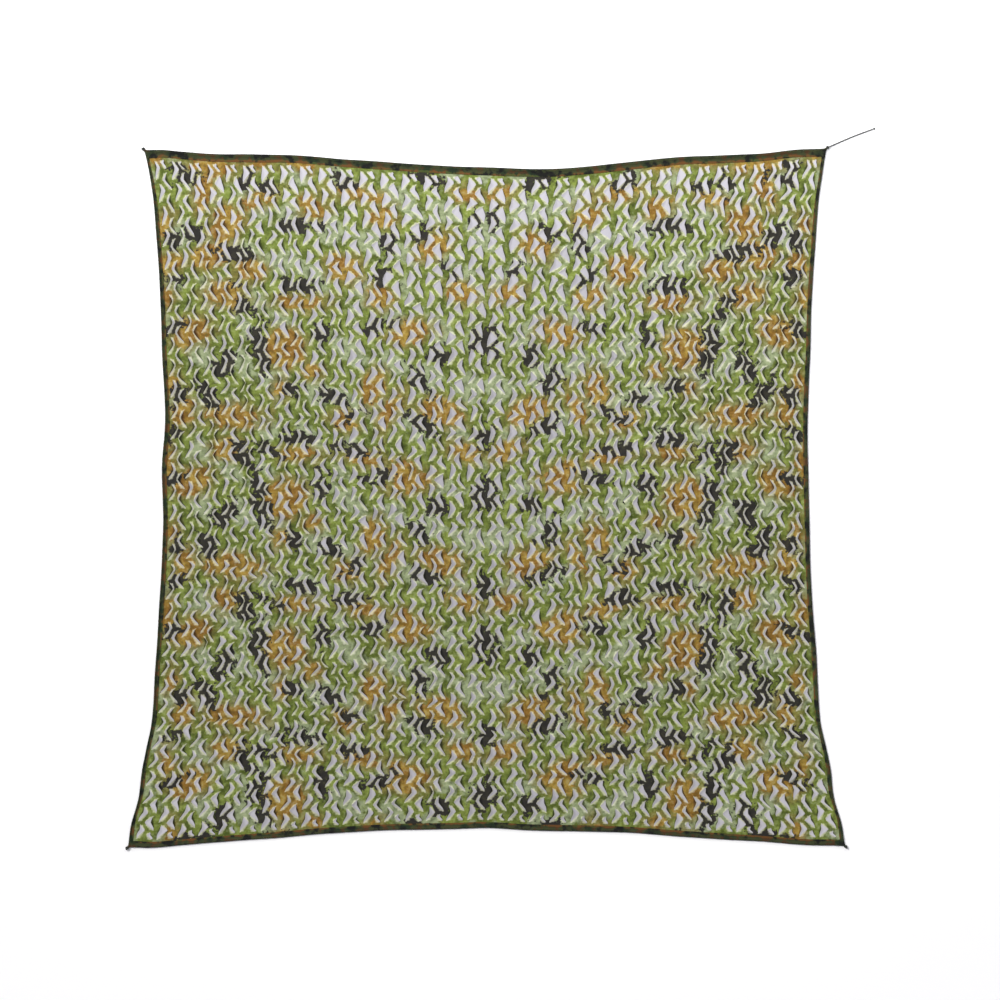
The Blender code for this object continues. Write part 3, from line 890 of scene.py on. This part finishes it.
def makeCloth(finish):
    # The lattice's lines and the points between them, the cells that fill it, and a band of
    # uncut cloth round it, in one mesh
    steps = net["sideSteps"]
    columns, rows = net["columns"], net["rows"]
    top = rows * steps
    half = steps // 2
    lineX = lineColumns(range(top + 1))
    lineStep = np.broadcast_to(np.arange(top + 1.0), lineX.shape)
    midX = (lineX[:-1] + lineX[1:]) / 2
    lines, mids = raised(lineX, lineStep), raised(midX, lineStep[:-1])
    # Only the middle points on the cells' borders are used
    lineId = np.arange(lineX.size).reshape(lineX.shape)
    evenStep = np.arange(0, top + 1, steps)
    oddStep = np.concatenate([[0], np.arange(half, top, steps), [top]])
    midId = np.full(mids.shape[:2], -1)
    used = np.zeros(mids.shape[:2], bool)
    used[np.ix_(np.arange(0, columns, 2), evenStep)] = True
    used[np.ix_(np.arange(1, columns, 2), oddStep)] = True
    midId[used] = lineId.size + np.arange(used.sum())
    base = np.concatenate([lines.reshape(-1, 3), mids[used]])

    # Full cells, then the half cells along the foot and the head of the odd columns
    even = [(c, r * steps) for c in range(0, columns, 2) for r in range(rows)]
    odd = [(c, r * steps + half) for c in range(1, columns, 2) for r in range(rows - 1)]
    short = [(c, low) for c in range(1, columns, 2) for low in (0, top - half)]
    faces = []
    total = len(base)
    made = []
    for cells, tall in ((even + odd, steps), (short, half)):
        column, low = np.array(cells).T
        facing = np.where(column % 2 == 0, 1.0, -1.0)
        made.append(cellPoints(column + 0.5, low + tall / 2, facing, tall))
        count, own = made[-1][0].shape[:2]
        ownId = total + np.arange(count * own).reshape(count, own)
        total += count * own
        down = low[:, None] + tall - np.arange(tall + 1)[None]
        rootLine = lineId[(column + (facing < 0))[:, None], down]
        lipLine = lineId[(column + (facing > 0))[:, None], down]
        upMid, lowMid = midId[column, low + tall][:, None], midId[column, low][:, None]
        ids = np.concatenate([upMid, rootLine, lowMid, lipLine, ownId], 1)
        for pattern in cellPattern(tall):
            found = ids[:, np.array(pattern)]
            right, left = found[facing > 0], found[facing < 0][..., ::-1]
            faces += right.reshape(-1, len(pattern[0])).tolist()
            faces += left.reshape(-1, len(pattern[0])).tolist()
    points, flat, edge, leaf = (
        np.concatenate([group[part].reshape(-1, *group[part].shape[2:]) for group in made])
        for part in range(4)
    )

    # Uncut cloth from the field's border out into the binding's slot
    def along(lineEnds, midEnds):
        woven = np.empty(len(lineEnds) + len(midEnds), lineEnds.dtype)
        woven[0::2], woven[1::2] = lineEnds, midEnds
        return woven

    corner = {}
    extra = []
    foot = drawnTo(along(lineX[:, 0], midX[:, 0]) / columns, 0.0)[0]
    head = drawnTo(along(lineX[:, -1], midX[:, -1]) / columns, 1.0)[0]
    flank = drawnTo(0.0, lineStep[0] / top)[1]
    borders = (
        ("bottom", along(lineId[:, 0], midId[:, 0]), foot, 1),
        ("top", along(lineId[:, -1], midId[:, -1]), head, -1),
        ("left", lineId[0], flank, -1),
        ("right", lineId[-1], flank, 1),
    )
    for name, ring, way, turn in borders:
        spots = sidePoint(sides[name], way, outline["tuck"])
        outer = total + np.arange(len(ring))
        total += len(ring)
        extra.append(spots)
        for end, key in ((0, sides[name]["ends"][0]), (-1, sides[name]["ends"][1])):
            outer[end] = corner.setdefault(key, outer[end])
        band = np.stack([outer[:-1], outer[1:], ring[1:], ring[:-1]], -1)
        faces += band[:, ::turn].tolist()
    tucked = np.concatenate(extra)
    tucked = np.column_stack([tucked, np.full(len(tucked), outline["edgeHeight"])])

    everything = np.concatenate([base, points, tucked])
    flats = np.concatenate([base[:, :2], flat, tucked[:, :2]])
    edgeShare, leafShadeShare = (
        np.concatenate([np.zeros(len(base)), part, np.zeros(len(tucked))])
        for part in (edge, leaf)
    )

    # Points that no face uses: the second copies of the four tucked corners
    kept = np.zeros(len(everything), bool)
    kept[np.concatenate([np.asarray(face) for face in faces])] = True
    newId = np.cumsum(kept) - 1
    faces = [newId[list(face)].tolist() for face in faces]
    flats = flats[kept]
    numbers = {
        "black": blotchField(flats, printed["black"]),
        "ochre": blotchField(flats, printed["ochre"]),
        "mint": mintField(flats),
        "cutEdge": edgeShare[kept],
        "leaf": leafShadeShare[kept],
    }
    return makePiece("printed_net", everything[kept], faces, finish, {"clothMap": flats}, numbers)


weave = {
    "roughness": 0.82, "sheen": 0.1,
    # Leaves are painted darker and deeper in colour towards their tips, as painted shade on
    # their curl, and cut edges fray paler: gamma, and the step over which each sets in
    "leaf": (2.3, ("leaf", 0.0, 1.0, 0.90)),
    "edge": (0.42, ("cutEdge", 0.52, 3.4, 0.80)),
    "frayed": colour(210, 208, 184), "frayedShare": 0.66,
    "threads": 2800.0,     # radians to a metre, each way
    "crumple": (46.0, 3.0),
    "smoothest": 0.76, "rougher": 0.16,
    "relief": (0.1, 4.0, 0.0012, 0.7),    # shares of threads and crumple, height, strength
}


def clothFinish():
    finish = Finish("camouflageCloth", weave["roughness"], weave["sheen"])
    spots = finish.mapOf("clothMap")
    shade = camouflage(finish, spots)
    fields = {name: finish.read(name) for name in ("leaf", "cutEdge")}
    # Painted shade: leaves darker and deeper in colour towards their tips, where they curl up
    # steeply
    power, step = weave["leaf"]
    shade = laid(finish, fields, shade, (finish.gamma(shade, power), *step))
    power, step = weave["edge"]
    frayed = finish.mix(weave["frayedShare"], finish.gamma(shade, power), weave["frayed"])
    shade = laid(finish, fields, shade, (frayed, *step))
    warp, weft = ((finish.apart(spots, axis) * weave["threads"]).sine() for axis in (0, 1))
    crumple = finish.noise(spots, *weave["crumple"])
    finish.feed("Base Color", shade)
    finish.feed("Roughness", weave["smoothest"] + crumple * weave["rougher"])
    threaded, crumpled, height, strength = weave["relief"]
    finish.bump(warp * weft * threaded + crumple * crumpled, height, strength)
    return finish


cloth = makeCloth(clothFinish())
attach(cloth, body)
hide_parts("net_cloth")
print("cloth made:", len(cloth.data.polygons), "faces")


# Binding: tape folded over the cloth's edge round a cord, one length to each side

tapeOlive, tapeBlack = colour(54, 60, 32), colour(12, 13, 10)
binding = {
    "roughness": 0.85, "sheen": 0.05,
    "stations": 420,
    # share of the tape's width from the outer edge, height, share of the ripple taken
    "section": (
        (0.100, 0.0003, 0.0), (0.030, 0.0012, 0.4), (0.000, 0.0032, 0.8), (0.000, 0.0054, 1.0),
        (0.030, 0.0076, 1.0), (0.090, 0.0091, 1.0), (0.170, 0.0096, 1.0), (0.260, 0.0094, 1.0),
        (0.340, 0.0084, 0.9), (0.410, 0.0067, 0.7), (0.480, 0.0056, 0.4), (0.640, 0.0052, 0.3),
        (0.820, 0.0051, 0.2), (1.000, 0.0048, 0.1), (1.000, 0.0040, 0.1), (0.700, 0.0040, 0.0),
        (0.450, 0.0038, 0.0), (0.450, 0.0013, 0.0), (0.700, 0.0012, 0.0), (1.000, 0.0012, 0.0),
        (1.000, 0.0003, 0.0), (0.500, 0.0003, 0.0),
    ),
    "ripple": 0.0012,
    "rippleWaves": ((0.6, 33.0, 1.0), (0.4, 71.0, 2.3)),    # share, radians a side, shift
    "rippleFade": 0.125,   # share of a side, where the ripple sets in
    "rippleUp": 0.5,       # its share in the height
    "shift": 1.7,          # of the ripple, from one side to the next
    "gather": 0.0007,      # small puckers along the roll
    "gatherLength": 0.022,
    "creaseAngle": 48,     # degrees, from which an edge of the tape is sharp
    "noises": {            # scale, detail, roughness
        "patches": (14.0, 3.0, 0.6), "spots": (22.0, 3.0, 0.6), "folds": (120.0, 2.0, 0.5),
    },
    "hemStarts": 0.70,     # share of the width, inside which the hem is of printed cloth
    "hemRagged": 1.1,
    "shades": (            # as in the print
        tapeOlive,
        (colour(26, 42, 22), "patches", 0.48, 9.0, 1.0),
        (colour(72, 44, 20), "spots", 0.54, 14.0, 0.85),
        (tapeBlack, "spots", 0.47, -12.0, 1.0),
        ((colour(104, 66, 28), (colour(66, 78, 34), "patches", 0.50, 10.0, 1.0),
          (tapeBlack, "spots", 0.50, -14.0, 1.0)), "hem", 0.0, 7.0, 0.85),
        # black along the outer side of the roll, down to the floor
        (tapeBlack, "across", 0.16, -8.0, 0.80),
        (tapeOlive, "folds", 0.55, 3.0, 0.30),
    ),
    "ribs": (3100.0, 1900.0),    # radians to a metre along the tape, and across
    "relief": (0.25, 0.0010, 0.8),    # share of the ribs, height, strength
}


def makeBinding(name, order, finish):
    # The section carried along the bowed side. The first and last rings lie on the mitres
    side = sides[name]
    share, height, taken = np.array(binding["section"]).T
    way = np.linspace(0, 1, binding["stations"])
    fade = np.minimum(1, np.minimum(way, 1 - way) / binding["rippleFade"])
    wave = sum(
        size * np.sin(turns * way + shift * order * binding["shift"])
        for size, turns, shift in binding["rippleWaves"]
    )
    wave = binding["ripple"] * fade * wave
    length = np.linalg.norm(chordOf(side)[0] - tapeCorner(side["ends"][1]))
    pucker = waves(way * length, way * 0 + order, binding["gatherLength"], 30 + order)
    pucker *= fade * binding["gather"]
    extra = wave[:, None] * taken[None]
    spots = sidePoint(side, np.broadcast_to(way[:, None], extra.shape), share, extra)
    along = chordOf(side)[1]
    spots[0] += along * outline["gap"]
    spots[-1] -= along * outline["gap"]
    heights = height + binding["rippleUp"] * extra + pucker[:, None] * taken[None] ** 2
    points = np.dstack([spots, heights])
    rings, around = heights.shape
    faces = gridFaces(rings, around, closed=True)[:, ::side["inward"]].tolist()
    ends = [list(range(around)), list(range((rings - 1) * around, rings * around))[::-1]]
    faces += [end[::side["inward"]] for end in ends]
    reach = np.cumsum(np.hypot(np.diff(share, prepend=share[0]) * side["width"],
                               np.diff(height, prepend=height[0])))
    maps = np.stack(np.broadcast_arrays(way[:, None] * length, reach[None]), -1).reshape(-1, 2)
    numbers = {"across": np.broadcast_to(share, heights.shape).ravel()}
    piece = makePiece("bound_" + name, points.reshape(-1, 3), faces, finish,
                      {"tapeMap": maps}, numbers)
    piece.data.set_sharp_from_angle(angle=np.radians(binding["creaseAngle"]))
    return piece


def bindingFinish():
    # Dark mottled tape on the roll, and inside a ragged line the net's own colours
    finish = Finish("bindingTape", binding["roughness"], binding["sheen"])
    spots = finish.mapOf("tapeMap")
    fields = finish.noises(finish.place(), binding["noises"])
    fields["across"] = finish.read("across")
    ragged = (fields["spots"] - 0.5) * binding["hemRagged"]
    fields["hem"] = fields["across"] - binding["hemStarts"] + ragged
    finish.feed("Base Color", laid(finish, fields, *binding["shades"]))
    onward, sideways = binding["ribs"]
    ribs = (finish.apart(spots, 0) * onward + finish.apart(spots, 1) * sideways).sine()
    ribbed, height, strength = binding["relief"]
    finish.bump(ribs * ribbed + fields["folds"], height, strength)
    return finish


# Tape folded over each corner, from its knot to a straight edge across the two sides

patch = {
    "rows": 16, "steps": 25,
    "reach": 0.046,        # along each side
    "beyond": -0.03,       # of a tape's width, past its outer edge
    "neck": 0.0052,        # half the width under the knot
    "rounding": 0.010,     # radius of its two long edges, on the floor
    "foot": 0.0006, "roof": 0.0124,    # height of those edges, and of its back
    "hollow": (0.0050, 0.7),    # how far its middle sinks, and how soon across the patch
    "pucker": (0.0009, 19.0, 3.0),    # height, half waves across, radians along
    "tongue": 0.15,        # share of its length in the knot
    "inEdge": (0.0030, 0.0004),    # how far its inner edge turns down, and the lowest it lies
    "mapLength": 0.05,
    "across": (0.09, 0.35),    # share of the tape's width whose colours it shows: edge, middle
}


def addPatch(name, finish):
    # Each row runs from one side's outer edge to the other's, rounded down at both of its ends
    rows, steps = patch["rows"], patch["steps"]
    reach = np.linspace(0, patch["reach"], rows)
    edges = []
    for side in sides.values():
        if name in side["ends"]:
            start, end = (tapeCorner(corner) for corner in side["ends"])
            way = reach / np.linalg.norm(end - start)
            way = way if side["ends"][0] == name else 1 - way
            edges.append(sidePoint(side, way, patch["beyond"]))
    knot = np.array(corners[name])
    first, last = (np.vstack([knot, edge]) for edge in edges)
    middle, half = (first + last) / 2, (first - last) / 2
    neck = np.array([-knot[1], knot[0]]) / np.linalg.norm(knot)
    neck *= np.sign(half[-1] @ neck)
    size = np.linalg.norm(half, axis=1)[:, None]
    tiny = 0.001
    half = np.where(size < tiny, neck, half / np.maximum(size, tiny))
    half *= np.hypot(size, patch["neck"])
    first, last = middle + half, middle - half
    share = np.linspace(0, 1, steps)[None, :, None]
    spots = first[:, None] * (1 - share) + last[:, None] * share
    share = share[..., 0]
    out = np.abs(2 * share - 1)
    gone = patch["tongue"] + (1 - patch["tongue"]) * reach / reach[-1]
    gone = np.append(0.0, gone)[:, None]
    width = np.linalg.norm(first - last, axis=1)[:, None]
    rounding = np.clip((1 - out) * width / patch["rounding"], 0, 1)
    sunk, soon = patch["hollow"]
    roof = patch["roof"] - sunk * gone * (1 - out) ** soon
    tall, halfWaves, shift = patch["pucker"]
    puckers = tall * np.sin(halfWaves * share * np.pi + shift * gone) * gone * rounding
    rise = (roof - patch["foot"]) * np.sqrt(rounding * (2 - rounding))
    heights = patch["foot"] + rise + puckers
    turned, lowest = patch["inEdge"]
    heights[-1] = np.maximum(heights[-1] - turned, lowest)
    points = np.dstack([spots, heights]).reshape(-1, 3)
    faces = gridFaces(rows + 1, steps)
    if np.cross(last[-1] - first[-1], first[-1] - first[0]) < 0:
        faces = faces[:, ::-1]
    maps = np.dstack([gone * patch["mapLength"] + 0 * share, share * width]).reshape(-1, 2)
    edge, inwards = patch["across"]
    numbers = {"across": (edge + inwards * gone * (1 - out)).ravel()}
    piece = makePiece("corner_patch_" + name, points, faces.tolist(), finish,
                      {"tapeMap": maps}, numbers)
    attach(piece, body)


taped = bindingFinish()
for order, name in enumerate(sides):
    piece = makeBinding(name, order, taped)
    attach(piece, body)
    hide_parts("binding_" + name)
for name in corners:
    addPatch(name, taped)
print("binding made: four sides, four corners")


# Floor and light

studio = {
    "floor": (colour(253, 253, 254), colour(250, 250, 252)),
    "cloudy": (0.6, 1.0),  # noise scale and detail
    "roughness": 0.9,
    "floorHeight": -0.0010,
    "floorSize": 80.0,
    # The floor seen through the net, painted darker as shade, and its own light, a painted glow
    # which stands for a far pale backdrop: brightest at the head, and brighter towards the two
    # sides than up the middle
    "shaded": colour(108, 107, 114),
    "shine": (colour(146, 143, 147), colour(203, 200, 207)),
    "shadedHeight": -0.0004, "shadedSteps": 40,
    "halfNet": 1.5, "headPower": 6, "sideShare": 0.35,
    "mottle": (11.0, 3.0, 0.6), "mottleShare": 0.5,
    "sky": colour(238, 240, 250),
    "skyStrength": 0.26,
    # name: way to it, strength, softness in radians, colour
    "lamps": {
        "key": ((-0.50, 0.40, 0.77), 2.50, 0.28, (1.0, 0.985, 0.95)),
        "front": ((0.05, -0.10, 1.0), 0.48, 0.6, (1.0, 1.0, 1.0)),
    },
    # A long lamp over the net's head, so that it is brightest there
    "head": {"over": (0.0, 1.9, 2.2), "size": (5.0, 0.8), "watts": 59.0},
}


def makeFloor():
    # A wide flat floor, and a sheet on it of the net's own outline
    finish = Finish("paleFloor", studio["roughness"])
    clouds = finish.noise(finish.place(), *studio["cloudy"])
    finish.feed("Base Color", finish.mix(clouds, *studio["floor"]))
    reach = studio["floorSize"] / 2
    x, y = np.meshgrid([-reach, reach], [-reach, reach])
    points = np.column_stack([x.ravel(), y.ravel(), np.full(4, studio["floorHeight"])])
    floor = makePiece("floor", points, gridFaces(2, 2).tolist(), finish)
    shadeAndGlow = Finish("shadedFloor", studio["roughness"])
    mottle = shadeAndGlow.noise(shadeAndGlow.place(), *studio["mottle"])
    half = studio["halfNet"]
    side = shadeAndGlow.apart(shadeAndGlow.place(), 0) * (1 / half)
    height = (shadeAndGlow.apart(shadeAndGlow.place(), 1) + half) * (0.5 / half)
    glow = height ** studio["headPower"] + side * side * (1.0 - height) * studio["sideShare"]
    glow = glow + (mottle - 0.5) * studio["mottleShare"]
    # painted shade under the net, and over it a painted glow
    shadeAndGlow.feed("Base Color", studio["shaded"])
    shadeAndGlow.feed("Emission Color", shadeAndGlow.mix(glow.held(), *studio["shine"]))
    shadeAndGlow.feed("Emission Strength", 1.0)
    steps = studio["shadedSteps"]
    u, v = np.meshgrid(np.linspace(0, 1, steps), np.linspace(0, 1, steps))
    spots = clothPoint(u.ravel(), v.ravel())
    points = np.column_stack([spots, np.full(len(spots), studio["shadedHeight"])])
    under = makePiece("floor_under_net", points, gridFaces(steps, steps).tolist(), shadeAndGlow)


def lightStudio():
    # Two suns and a pale sky light all of it, and one long lamp its head
    for name, (way, strength, softness, tint) in studio["lamps"].items():
        lamp = bpy.data.lights.new(name, "SUN")
        lamp.energy = strength
        lamp.angle = softness
        lamp.color = tint
        x, y, z = np.array(way) / np.linalg.norm(way)
        turned = (np.arccos(z), 0.0, np.arctan2(y, x) + np.pi / 2)
        hang(name, lamp, way).rotation_euler = turned
    head = studio["head"]
    lamp = bpy.data.lights.new("head", "AREA")
    lamp.shape = "RECTANGLE"
    lamp.size, lamp.size_y = head["size"]
    lamp.energy = head["watts"]
    hang("head", lamp, head["over"]).visible_camera = False
    world = bpy.data.worlds.new("studio")
    bpy.context.scene.world = world
    world.use_nodes = True
    sky = world.node_tree.nodes["Background"]
    sky.inputs["Color"].default_value = studio["sky"]
    sky.inputs["Strength"].default_value = studio["skyStrength"]
    bpy.context.scene.view_settings.view_transform = "Standard"


makeFloor()
lightStudio()
print("floor and light made")
